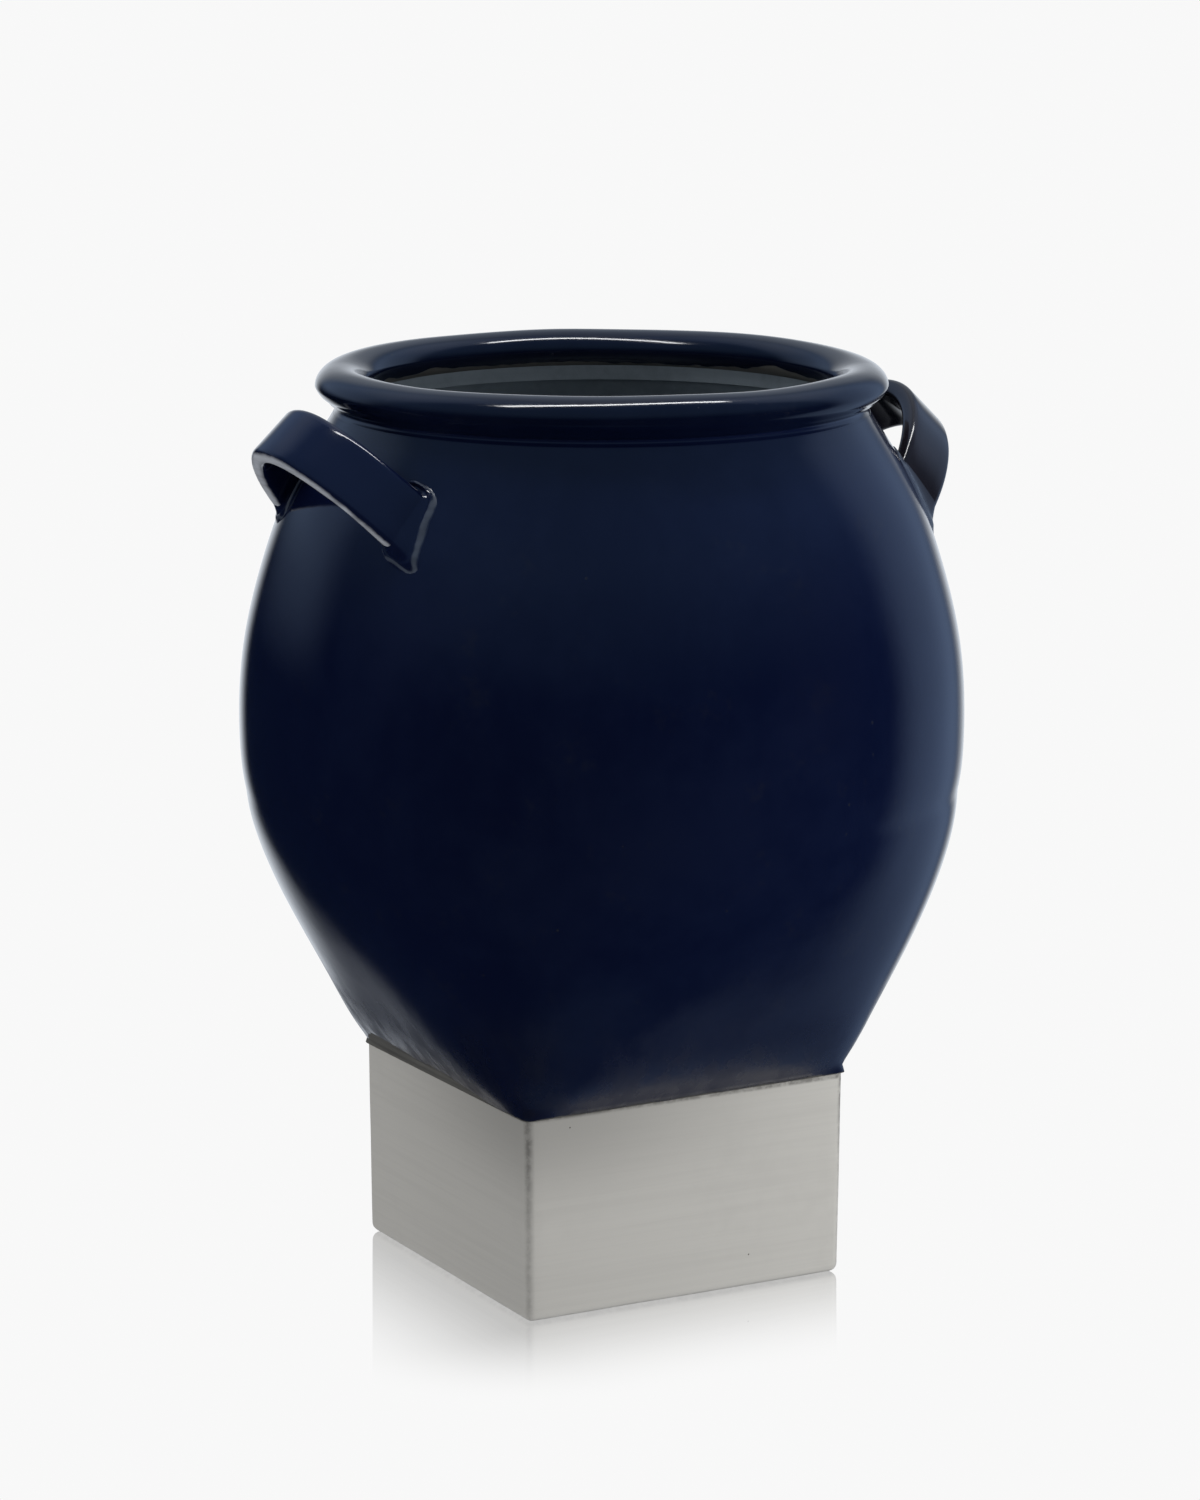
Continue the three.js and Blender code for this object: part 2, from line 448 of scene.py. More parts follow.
class Effect(Enum):
    """Surface effects that several finishes share, each a node group built once."""

    MOTTLE = "firing_mottle"
    PINHOLES = "pinholes"
    RIPPLE = "surface_ripple"
    BRUSH = "brush_marks"

    def group(self) -> bpy.types.NodeTree:
        """Return the effect's node group, building it at its first use."""
        known = bpy.data.node_groups.get(self.value)
        if known:
            return known
        tree = bpy.data.node_groups.new(self.value, "ShaderNodeTree")
        builders = {Effect.MOTTLE: self._mottle, Effect.PINHOLES: self._pinholes,
                    Effect.RIPPLE: self._ripple, Effect.BRUSH: self._brush}
        builders[self](NodeSheet(tree))
        return tree

    def on(self, point: Signal, **values: float) -> Signal:
        """Place the effect in a material, with values for its inputs, and return its output."""
        return point.sheet.read("Group", {"Vector": point, **values}, node_tree=self.group())

    @staticmethod
    def _ends(sheet: NodeSheet, result: str, **defaults: float) -> list[Any]:
        """Make a group's sockets.

        Args:
            sheet: the group's tree.
            result: name of its output.
            defaults: its number inputs, with their default values.

        Returns:
            The signals of its vector and number inputs, and last the socket that takes the result.
        """
        face = sheet.tree.interface
        face.new_socket(name="Vector", in_out="INPUT", socket_type="NodeSocketVector")
        for name, value in defaults.items():
            face.new_socket(name=name, in_out="INPUT", socket_type="NodeSocketFloat").default_value = value
        face.new_socket(name=result, in_out="OUTPUT", socket_type="NodeSocketFloat")
        start, end = (sheet.tree.nodes.new(kind) for kind in ("NodeGroupInput", "NodeGroupOutput"))
        return [Signal(sheet, output) for output in list(start.outputs)[:1 + len(defaults)]] + [end.inputs[0]]

    @staticmethod
    def _mottle(sheet: NodeSheet) -> None:
        """Large soft clouds broken by finer ones."""
        point, scale, share, end = Effect._ends(sheet, "Cloud", Scale=12.0, Fine=0.35)
        fine = sheet.noise(point, scale * 7.3, 4.0)
        sheet.feed(end, (fine - 0.5) * share + sheet.noise(point, scale, 2.0, 0.5))

    @staticmethod
    def _pinholes(sheet: NodeSheet) -> None:
        """Small round spots, of which only some cells hold one."""
        point, scale, size, share, end = Effect._ends(sheet, "Spot", Scale=180.0, Size=0.1, Share=0.1)
        cells = sheet.add("TexVoronoi", {"Vector": point, "Scale": scale}, feature="F1").outputs
        near = Signal(sheet, cells["Distance"]).sum("LESS_THAN", size)
        pick = sheet.axes(Signal(sheet, cells["Color"]))[0]
        sheet.feed(end, near * pick.sum("LESS_THAN", share))

    @staticmethod
    def _ripple(sheet: NodeSheet) -> None:
        """A slow swell with a finer orange peel on it."""
        point, swell, peel, share, end = Effect._ends(sheet, "Height", Swell=25.0, Peel=220.0, Peel_Share=0.2)
        sheet.feed(end, sheet.noise(point, peel, 2.0, 0.5) * share + sheet.noise(point, swell, 1.0, 0.4))

    @staticmethod
    def _brush(sheet: NodeSheet) -> None:
        """Strokes that run level round the piece, with breaks along them."""
        point, along, across, end = Effect._ends(sheet, "Stroke", Along=9.0, Across=420.0)
        x, y, z = sheet.axes(point)
        level = sheet.read("CombineXYZ", {0: x * along, 1: y * along, 2: z * across})
        sheet.feed(end, sheet.noise(level, 1.0))


class Mask:
    """A place where a glaze shows another colour: bare clay, and on the handles a painted highlight."""

    def mask(self, point: Signal) -> Signal:
        """Wire the mask.

        Args:
            point: the Object coordinates, on the glaze's sheet.

        Returns:
            0 under thick glaze, up to 1 where the bare clay or the painted highlight shows.
        """
        raise NotImplementedError


@dataclass(frozen=True)
class BareFlank(Mask):
    """The wedge of unglazed clay low on one flank, where the glaze stopped short of the crease."""

    crease: float
    flank: float
    slope_x: float
    slope_y: float

    def mask(self, point: Signal) -> Signal:
        """Wire the mask of the wedge."""
        x, y, z = point.sheet.axes(point)
        above = z - self.crease - (y * self.slope_y + x * self.slope_x)
        rise = y.step(-58 * MM, -12 * MM, 0.0, 8.2 * MM)
        more = y.step(5 * MM, 38 * MM, 0.0, 3.6 * MM)
        fall = y.step(44 * MM, 74 * MM, 1.0, 0.25)
        this_flank = x.step(-self.flank, -self.flank * 0.86, 1.0, 0.0)
        ragged = point.sheet.noise(point.sheet.drawn(point, 0.4), 95.0)
        height = (ragged - 0.42) * (3.2 * MM) + (rise + more) * fall * this_flank
        return (above - height).step(-0.25 * MM, 0.25 * MM, 1.0, 0.0)


@dataclass(frozen=True)
class BareThroat(Mask):
    """The clay left bare inside the mouth, below a wavy line on the lip's inner side."""

    radius: float
    line: float

    def mask(self, point: Signal) -> Signal:
        """Wire the mask of the throat."""
        x, y, z = point.sheet.axes(point)
        inside = (x * x + y * y).root().sum("LESS_THAN", self.radius)
        wave = point.sheet.noise(point.sheet.drawn(point, 0.1), 22.0)
        line = wave * (12 * MM) + (self.line - 6 * MM)
        return inside * (z - line).step(-0.3 * MM, 0.3 * MM, 1.0, 0.0)


@dataclass(frozen=True)
class PaintedEdgeHighlight(Mask):
    """A painted highlight: a pale line along a strap's lower edge."""

    up: Vector
    level: float

    def mask(self, point: Signal) -> Signal:
        """Wire the mask of the painted highlight on the edge."""
        line = point.sheet.noise(point, 120.0) * (1.2 * MM) + (self.level - 0.6 * MM)
        return (point.sheet.dot(point, self.up) - line).step(-0.5 * MM, 0.7 * MM, 1.0, 0.0)


@dataclass(frozen=True)
class PaintedRidgeHighlight(Mask):
    """A painted highlight: a lighter line along the ridge of a weld."""

    foot: Matrix
    half_thickness: float
    half_width: float
    outside: float = 2.9 * MM

    def mask(self, point: Signal) -> Signal:
        """Wire the mask of the painted highlight on the ridge."""
        sheet = point.sheet
        local = sheet.read("VectorMath", {0: point, 1: self.foot.translation}, "Vector", operation="SUBTRACT")
        squares = []
        for axis, half in enumerate((self.half_thickness, self.half_width)):
            past = (abs(sheet.dot(local, self.foot.col[axis].xyz)) - half).most(0.0)
            squares.append(past * past)
        line = sheet.noise(point, 90.0, 2.0, 0.5) * (1.6 * MM) + (self.outside - 0.8 * MM)
        return abs((squares[0] + squares[1]).root() - line).step(0.1 * MM, 0.8 * MM, 0.55, 0.0)


@dataclass(frozen=True)
class NavyGlaze:
    """Thick dark blue glaze, fired glossy over grey clay."""

    name: str
    pool: Colour = (0.0022, 0.0044, 0.0210, 1)
    cloud: Colour = (0.0036, 0.0068, 0.0270, 1)
    break_colour: Colour = (0.012, 0.014, 0.024, 1)
    clay: Colour = (0.112, 0.110, 0.102, 1)
    gloss: float = 0.09
    ripple: float = 0.30
    pits: float = 0.05
    bare: Optional[Mask] = None
    foot: Optional[float] = None

    def make(self) -> bpy.types.Material:
        """Return the finished glaze."""
        sheet = FinishSheet(self.name)
        point = sheet.point()
        cloud = Effect.MOTTLE.on(point, Scale=9.0, Fine=0.5)
        colour = sheet.mix(cloud.step(0.35, 0.75), self.pool, self.cloud)
        thin = Effect.MOTTLE.on(point, Scale=34.0, Fine=0.9)
        colour = sheet.mix(thin.step(0.62, 0.95, 0.0, 0.35), colour, self.break_colour)
        pits = Effect.PINHOLES.on(point, Scale=150.0, Size=0.085, Share=self.pits)
        colour = sheet.mix(pits, colour, self.break_colour)
        rough = cloud.step(0.3, 0.8, self.gloss, self.gloss * 1.6)
        height = pits * -0.6 + Effect.RIPPLE.on(point, Swell=26.0, Peel=240.0, Peel_Share=0.12)
        runs = sheet.noise(sheet.drawn(point, 0.06), 85.0)
        colour = sheet.mix(runs.step(0.5, 0.8, 0.0, 0.35), colour, self.cloud)
        if self.foot is not None:
            low = sheet.axes(point)[2].step(self.foot, self.foot + 75 * MM, 1.0, 0.0)
            rough = rough + low * runs.step(0.3, 0.75, 0.10, 0.34)
            height = runs * low * 0.5 + height
        # The mask shows bare clay on the belly's flank and in the throat, and a painted highlight on the handles'
        # lower edges and welds' ridges; there self.clay holds the highlight's colour.
        if self.bare:
            mask = self.bare.mask(point)
            streak = Effect.BRUSH.on(point, Along=14.0, Across=260.0)
            clay = sheet.mix(streak.step(0.3, 0.75), self.clay, shade(self.clay, 0.55))
            colour = sheet.mix(mask, colour, clay)
            rough = mask * 0.62 + rough
            height = mask * -0.9 + height
        return sheet.finish(colour, rough, height, self.ripple, IOR=1.52)


@dataclass(frozen=True)
class RawClay:
    """Unglazed grey clay, with the rings that throwing leaves."""

    name: str
    clay: Colour = (0.180, 0.220, 0.255, 1)
    dark: Colour = (0.140, 0.172, 0.202, 1)

    def make(self) -> bpy.types.Material:
        """Return the finished clay."""
        sheet = FinishSheet(self.name)
        point = sheet.point()
        cloud = Effect.MOTTLE.on(point, Scale=20.0, Fine=0.8)
        rings = Effect.BRUSH.on(point, Along=4.0, Across=190.0)
        colour = sheet.mix(cloud.step(0.3, 0.8), self.clay, self.dark)
        colour = sheet.mix(rings.step(0.45, 0.75, 0.0, 0.4), colour, self.dark)
        return sheet.finish(colour, cloud.step(0.3, 0.8, 0.78, 0.9), rings * 0.7 + cloud, 0.5)


@dataclass(frozen=True)
class PaleSlip:
    """Pale grey slip brushed level round the plinth, worn dark on its corners and foot, with painted shade under
    the belly's overhang and along the crease.
    """

    name: str
    half_width: float
    height: float
    slip: Colour = (0.545, 0.535, 0.505, 1)
    thin: Colour = (0.475, 0.465, 0.440, 1)
    wear_and_shade_colour: Colour = (0.150, 0.145, 0.135, 1)
    speck: Colour = (0.085, 0.075, 0.065, 1)

    def make(self) -> bpy.types.Material:
        """Return the finished slip."""
        sheet = FinishSheet(self.name)
        point = sheet.point()
        x, y, z = sheet.axes(point)
        stroke = Effect.BRUSH.on(point, Along=7.0, Across=330.0)
        cloud = Effect.MOTTLE.on(point, Scale=16.0, Fine=0.6)
        colour = sheet.mix(stroke.step(0.38, 0.7, 0.0, 0.4), self.slip, self.thin)
        colour = sheet.mix(cloud.step(0.5, 0.85, 0.0, 0.35), colour, self.thin)
        # Painted shade from the belly's overhang: darkest at the top of the corner between the -X and -Y faces,
        # fading towards the far faces and the foot.
        near = (x + y).step(-2 * self.half_width, 0.0, 1.0, 0.0)
        near = near * z.step(0.45 * self.height, self.height, 0.15, 1.0)
        colour = sheet.mix(near, colour, shade(self.thin, 0.72))
        specks = Effect.PINHOLES.on(point, Scale=260.0, Size=0.10, Share=0.012)
        colour = sheet.mix(specks, colour, self.speck)
        wear_and_shade = self._wear_and_shade(point, x, y, z)
        colour = sheet.mix(wear_and_shade, colour, self.wear_and_shade_colour)
        height = specks * -0.8 + (wear_and_shade * -1.2 + stroke)
        return sheet.finish(colour, stroke.step(0.3, 0.8, 0.58, 0.72), height, 0.25, 0.35 * MM)

    def _wear_and_shade(self, point: Signal, x: Signal, y: Signal, z: Signal) -> Signal:
        """Wire the mask of darker corners and edges: worn slip, with painted shade near the top.

        Args:
            point: the Object coordinates.
            x: their first part.
            y: their second part.
            z: their third part.

        Returns:
            1 where the corners and edges are darkest.
        """
        inward = abs(x).sum("MINIMUM", abs(y))
        # Corner lines of worn slip, made darker towards the top as painted shade under the belly's overhang.
        corner = inward.step(self.half_width - 4.2 * MM, self.half_width - 0.8 * MM)
        corner = corner * z.step(0.35 * self.height, self.height, 0.42, 1.0)
        # Painted shade: a dark line along the top edge, under the glaze's crease.
        top = z.step(self.height - 1.6 * MM, self.height - 0.2 * MM, 0.0, 0.8)
        foot = z.step(0.5 * MM, 2.0 * MM, 0.35, 0.0)
        broken = point.sheet.noise(point, 210.0, 4.0, 0.7).step(0.36, 0.62)
        return corner.most(top.most(foot)) * (broken * 0.65 + 0.35)


# ---------------------------------------------------------------- the vase


@dataclass(frozen=True)
class CreaseSlant:
    """The slight slant of the crease between belly and plinth, which no hand cuts dead level."""

    half_width: float
    rise_x: float = 0.0097
    rise_y: float = -0.0104

    def at(self, x: float, y: float) -> float:
        """Return how much higher than level the crease is at a place."""
        return self.rise_x * (x + self.half_width) + self.rise_y * (y + self.half_width)


@dataclass
class GlazedBody:
    """The belly: thrown round, paddled square below, and glazed from crease to neck."""

    wall: float = 9 * MM
    paddled: float = 0.43
    rings: int = 96
    steps: int = 256
    nodes: tuple[str, str] = ("lower_belly", "upper_belly")

    def __post_init__(self) -> None:
        """Take the heights and the greatest width from the frame."""
        low, high = corner_of(*self.nodes)
        self.foot = low.z
        self.top = high.z
        self.widest = high.x
        self.section = PaddledSection(self.foot, blend(self.foot, self.top, self.paddled))
        self.outline = SmoothCurve([(blend(self.foot, self.top, share), width * self.widest)
                                    for share, width in self.stations()])
        self.wobble = HandWobble(0.55 * MM, 75 * MM, 3.1)
        self.slant = CreaseSlant(self.outline.at(self.foot))
        self.tree: Optional[BVHTree] = None

    @staticmethod
    def stations() -> list[tuple[float, float]]:
        """Return the outline: share of the height, and half width over the greatest one."""
        return [(0.000, 0.503), (0.027, 0.549), (0.107, 0.656), (0.218, 0.791), (0.327, 0.909), (0.419, 0.979),
                (0.519, 1.000), (0.661, 0.984), (0.782, 0.931), (0.893, 0.852), (1.000, 0.734)]

    def radius(self, height: float, angle: float, depth: float = 0.0) -> float:
        """Return how far from the axis the belly is in one direction, so deep under its surface."""
        return self.outline.at(height) * self.section.swell(height, angle) - depth

    def outside(self, point: Vector) -> bool:
        """Tell whether a point of the plain ring, half as wide inside, is on its outer wall."""
        return math.hypot(point.x, point.y) > self.widest * 0.75

    def _press(self, point: Vector) -> Vector:
        """Return where a point of the plain ring goes on the paddled belly."""
        height = point.z
        angle = self.section.crowd(height, math.atan2(point.y, point.x))
        radius = self.radius(height, angle, 0.0 if self.outside(point) else self.wall)
        x, y = radius * math.cos(angle), radius * math.sin(angle)
        held = ease(self.foot, self.foot + 30 * MM, height) * (1 - ease(self.top - 20 * MM, self.top, height))
        proud = 1 + held * self.wobble.at(Vector((x, y, height))) / max(radius, MM)
        drop = 1 - ease(self.foot, self.foot + 60 * MM, height)
        return Vector((x * proud, y * proud, height + drop * self.slant.at(x, y)))

    def build(self) -> Piece:
        """Make the belly and return it, tied to the frame."""
        clay = Clay()
        clay.ring(self.widest, self.widest / 2, self.foot - JOINT_GAP, self.top + JOINT_GAP, (self.rings, 30),
                  self.steps)
        clay.press(self._press)
        self.tree = clay.tree()
        crease = self.outline.at(self.foot)
        bare = BareFlank(self.foot + (self.slant.rise_x + self.slant.rise_y) * crease, crease,
                         self.slant.rise_x, self.slant.rise_y)
        glaze = NavyGlaze("belly_glaze", bare=bare, foot=self.foot).make()
        return deliver(clay.fire("glazed_belly", [glaze]), "navy_glaze", *self.nodes)


@dataclass
class ClayLining:
    """The bare inner wall, with the glaze of the mouth running a little way down it."""

    body: GlazedBody
    gap: float = 0.9 * MM
    skin: float = 0.4 * MM
    rings: int = 60
    steps: int = 160

    def _press(self, point: Vector) -> Vector:
        """Return where a point of the plain ring goes against the belly's inner wall."""
        angle = math.atan2(point.y, point.x)
        depth = self.body.wall + self.gap + (0.0 if self.body.outside(point) else self.skin)
        radius = self.body.radius(point.z, angle, depth)
        return Vector((radius * math.cos(angle), radius * math.sin(angle), point.z))

    def build(self) -> Piece:
        """Make the lining and return it, tied to the frame."""
        clay = Clay()
        low = self.body.foot + 4 * MM
        cuts = (self.rings, self.rings)
        clay.ring(self.body.widest, self.body.widest / 2, low, self.body.top, cuts, self.steps)
        clay.press(self._press)
        bare = RawClay("lining_clay").make()
        return deliver(clay.fire("clay_lining", [bare]), "raw_clay")


@dataclass
class GlazedNeck:
    """The short waisted neck between the shoulder and the rolled lip."""

    body: GlazedBody
    waist: float = 1.6 * MM
    steps: int = 192
    node: str = "neck_collar"

    def build(self) -> Piece:
        """Make the neck and return it, tied to the frame."""
        low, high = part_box(self.node)
        outer = self.body.outline.at(self.body.top)
        inner = outer - 12 * MM
        middle = (outer + inner) / 2
        clay = Clay()
        clay.ring(outer, inner, low.z - JOINT_GAP, high.z + 1.5 * MM, (14, 6), self.steps)

        def press(point: Vector) -> Vector:
            """Draw the outside in to a waist."""
            radius = math.hypot(point.x, point.y)
            if radius < middle:
                return point
            share = (point.z - low.z) / (high.z - low.z)
            drawn = 1 - self.waist * math.sin(math.pi * min(1.0, max(0.0, share))) / radius
            return Vector((point.x * drawn, point.y * drawn, point.z))

        clay.press(press)
        for face in clay.bm.faces:
            if face.calc_center_median().xy.length < middle:
                face.material_index = 1
        finishes = [NavyGlaze("neck_glaze").make(), RawClay("throat_clay").make()]
        return deliver(clay.fire("glazed_neck", finishes), "navy_glaze", self.node)


@dataclass
class RolledLip:
    """The fat rolled lip, round above and drawn in like a cone below."""

    node: str = "rolled_rim"
    half_width: float = 11.7 * MM
    undercut: float = 3.4 * MM
    groove: float = 1.0 * MM
    groove_turn: float = math.radians(-38)
    groove_spread: float = math.radians(8)
    lift: Vector = Vector((0.62, 1.15, 0)) * MM
    facets: int = 60
    steps: int = 224

    def build(self) -> Piece:
        """Make the lip and return it, tied to the frame."""
        low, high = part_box(self.node)
        centre = high.x - self.half_width
        half_height = 9 * MM
        middle = high.z - half_height
        wobble = HandWobble(0.7 * MM, 60 * MM, 8.4)
        clay = Clay()
        bmesh.ops.create_circle(clay.bm, cap_ends=False, radius=1.0, segments=self.facets)

        def section(point: Vector) -> Vector:
            """Stand the unit circle up as the roll's own section."""
            below = max(0.0, -point.y)
            outward = max(0.0, point.x)
            below_level = math.atan2(point.y, point.x) - self.groove_turn
            groove = self.groove * math.exp(-(below_level / self.groove_spread) ** 2)
            x = centre + (self.half_width - groove) * point.x - self.undercut * below * outward
            return Vector((x, 0, middle + half_height * point.y))

        clay.press(section)
        clay.spin(self.steps)

        def settle(point: Vector) -> Vector:
            """Lift the back of the lip a little and leave the top uneven."""
            lift = max(0.0, point.dot(self.lift) / high.x)
            return point + Vector((0, 0, lift + wobble.at(point) * ease(low.z, high.z, point.z)))

        clay.press(settle)
        throat = BareThroat(centre - 0.3 * self.half_width, low.z + 2.6 * MM)
        glaze = NavyGlaze("lip_glaze", pool=(0.0012, 0.0026, 0.0110, 1), cloud=(0.0022, 0.0042, 0.0150, 1),
                          pits=0.12, bare=throat).make()
        return deliver(clay.fire("glazed_lip", [glaze]), "navy_glaze", self.node)


class Side(Enum):
    """The two sides that carry a handle."""

    LEFT = -1
    RIGHT = 1


@dataclass
class StrapHandle:
    """A flat strap pulled from the shoulder in a half ellipse and pressed back on to it."""

    side: Side
    body: GlazedBody
    chord: float
    reach: float
    glaze: NavyGlaze
    # Colours of the painted highlights on the strap's lower edge and on the welds' ridges.
    edge_highlight: Colour = (0.46, 0.49, 0.55, 1)
    ridge_highlight: Colour = (0.10, 0.13, 0.18, 1)
    centre_y: float = 0.0
    width: float = 26.4 * MM
    thickness: float = 8.2 * MM
    edge_radius: float = 3.0 * MM
    tilt: float = math.radians(46.8)
    tenon: float = 5 * MM
    steps: int = 84

    def __post_init__(self) -> None:
        """Find the middle of the arch from the handle's CAD box."""
        self.node = f"handle_{self.side.name.lower()}"
        low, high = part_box(self.node)
        outermost = high.x if self.side is Side.RIGHT else -low.x
        flat = self.width / 2 - self.edge_radius
        thick = self.reach + self.thickness / 2 - self.edge_radius
        across = thick * math.cos(self.tilt) + flat * math.sin(self.tilt) + self.edge_radius
        upward = thick * math.sin(self.tilt) + flat * math.cos(self.tilt) + self.edge_radius
        sign = self.side.value
        self.centre = Vector((sign * (outermost - across), self.centre_y, high.z - upward))
        self.out = Vector((sign * math.cos(self.tilt), 0, math.sin(self.tilt)))
        self.up = Vector((-sign * math.sin(self.tilt), 0, math.cos(self.tilt)))

    def stand(self, turn: float) -> Matrix:
        """Find where the strap's section stands.

        Args:
            turn: 0 at the front foot, pi at the back foot.

        Returns:
            The matrix that puts the flat section there, thickness first and width second.
        """
        along = Vector((0, -self.chord / 2 * math.cos(turn), 0))
        place = self.centre + self.out * (self.reach * math.sin(turn)) + along
        ahead = self.out * (self.reach * math.cos(turn)) + Vector((0, self.chord / 2 * math.sin(turn), 0))
        ahead.normalize()
        thick = self.up.cross(ahead)
        turned = Matrix((thick, self.up, ahead)).transposed().to_4x4()
        return Matrix.Translation(place) @ turned

    def foot_turn(self, back: bool) -> float:
        """Find where the strap enters the shoulder.

        Args:
            back: True for the back foot.

        Returns:
            The turn where its centre line crosses the surface.
        """
        low, high = 0.0, math.pi / 2
        for _ in range(40):
            middle = (low + high) / 2
            place = self.stand(math.pi - middle if back else middle).translation
            inside = math.hypot(place.x, place.y) < self.body.outline.at(place.z)
            low, high = (middle, high) if inside else (low, middle)
        return math.pi - low if back else low

    def seat(self, point: Vector, inward: Vector, depth: float) -> Vector:
        """Return where a line through a point meets the shoulder, moved in along it by the depth."""
        hit, _, _, _ = self.body.tree.ray_cast(point - inward * SIGHT, inward, 3 * SIGHT)
        return (hit if hit else point) + inward * depth

    def section(self, grow: float = 0.0) -> list[Vector]:
        """Work out the strap's rounded section.

        Args:
            grow: how far outside the strap's own outline.

        Returns:
            The points round it, in its own plane.
        """
        bm = bmesh.new()
        bmesh.ops.create_grid(bm, x_segments=1, y_segments=1, size=0.5)
        size = Matrix.Diagonal((self.thickness + 2 * grow, self.width + 2 * grow, 1, 1))
        bmesh.ops.transform(bm, matrix=size, verts=bm.verts)
        bmesh.ops.bevel(bm, geom=bm.verts[:], offset=self.edge_radius + grow, offset_type="OFFSET", segments=5,
                        profile=0.5, affect="VERTICES", material=-1)
        bmesh.ops.subdivide_edges(bm, edges=[e for e in bm.edges if e.calc_length() > 8 * MM], cuts=4)
        whole = bmesh.ops.dissolve_faces(bm, faces=bm.faces[:])["region"][0]
        points = [loop.vert.co.copy() for loop in whole.loops]
        bm.free()
        start = max(range(len(points)), key=lambda i: (round(points[i].x, 6), points[i].y))
        return points[start:] + points[:start]

    def build(self) -> list[Piece]:
        """Make the strap and the two welds at its feet.

        Returns:
            The three pieces, tied to the frame.
        """
        first, last = self.foot_turn(False), self.foot_turn(True)
        front, back = self.stand(first), self.stand(last)
        outline = self.section()
        wobble = HandWobble(0.35 * MM, 30 * MM, 5.0 + self.side.value)
        clay = Clay()
        ring = clay.start_ring([self.seat(front @ p, -front.col[2].xyz, self.tenon) for p in outline])
        for step in range(1, self.steps):
            stand = self.stand(blend(first, last, step / self.steps))
            places = [stand @ (p * (1 + wobble.at(stand @ p) / self.thickness)) for p in outline]
            ring = clay.pull_ring(ring, places)
        clay.cap(clay.pull_ring(ring, [self.seat(back @ p, back.col[2].xyz, self.tenon) for p in outline]))
        # A painted highlight along the strap's lower edge.
        edge = PaintedEdgeHighlight(self.up, self.centre.dot(self.up) - self.width / 2 + 0.5 * MM)
        strap = deliver(self._coat(clay, "strap", edge, self.edge_highlight), "navy_glaze", self.node)
        return [strap, self._weld("front_weld", first, 1.0), self._weld("back_weld", last, -1.0)]

    def _coat(self, clay: Clay, part: str, bare: Mask, colour: Colour) -> Piece:
        """Glaze and fire one part of the handle, with a painted highlight of another colour."""
        name = f"{self.side.name.lower()}_{part}"
        return clay.fire(name, [replace(self.glaze, name=f"{name}_glaze", bare=bare, clay=colour).make()])

    def _weld(self, part: str, turn: float, sense: float) -> Piece:
        """Make the soft coil of clay smoothed round one foot.

        Args:
            part: which weld it is.
            turn: where the strap enters the shoulder.
            sense: 1 where the strap leaves the shoulder as the turn grows, -1 where it enters.

        Returns:
            The piece, tied to the frame.
        """
        climb, spread, ridge = 3.5 * MM, 4.6 * MM, 1.5 * MM
        crest, breadth, turns, nudge = 0.74, 0.13, 18, 0.01
        foot = self.stand(turn)
        speed = (foot.translation - self.stand(turn + nudge).translation).length / nudge
        above = self.stand(turn + sense * climb / speed)
        inward = -sense * foot.col[2].xyz
        wobble = HandWobble(0.9 * MM, 14 * MM, turn * 7)
        high = [above @ p for p in self.section(-0.25 * MM)]
        bend = [self.seat(foot @ p, inward, -0.8 * MM) for p in self.section(0.4 * MM)]
        low = [self.seat(foot @ (p * (1 + wobble.at(foot @ p) / self.width)), inward, 0.3 * MM)
               for p in self.section(spread)]
        clay = Clay()
        ring = clay.start_ring(high)
        for step in range(1, turns + 1):
            u = step / turns
            proud = inward * (-ridge * math.exp(-((u - crest) / breadth) ** 2))
            ring = clay.pull_ring(ring, [a * (1 - u) ** 2 + b * 2 * u * (1 - u) + c * u * u + proud
                                         for a, b, c in zip(high, bend, low)])
        clay.cap(clay.pull_ring(ring, [p + inward * 3 * MM for p in low]))
        # A painted highlight along the weld's ridge.
        ridge_highlight_mask = PaintedRidgeHighlight(foot, self.thickness / 2, self.width / 2)
        return deliver(self._coat(clay, part, ridge_highlight_mask, self.ridge_highlight), "navy_glaze", f"{self.node}_{part}")


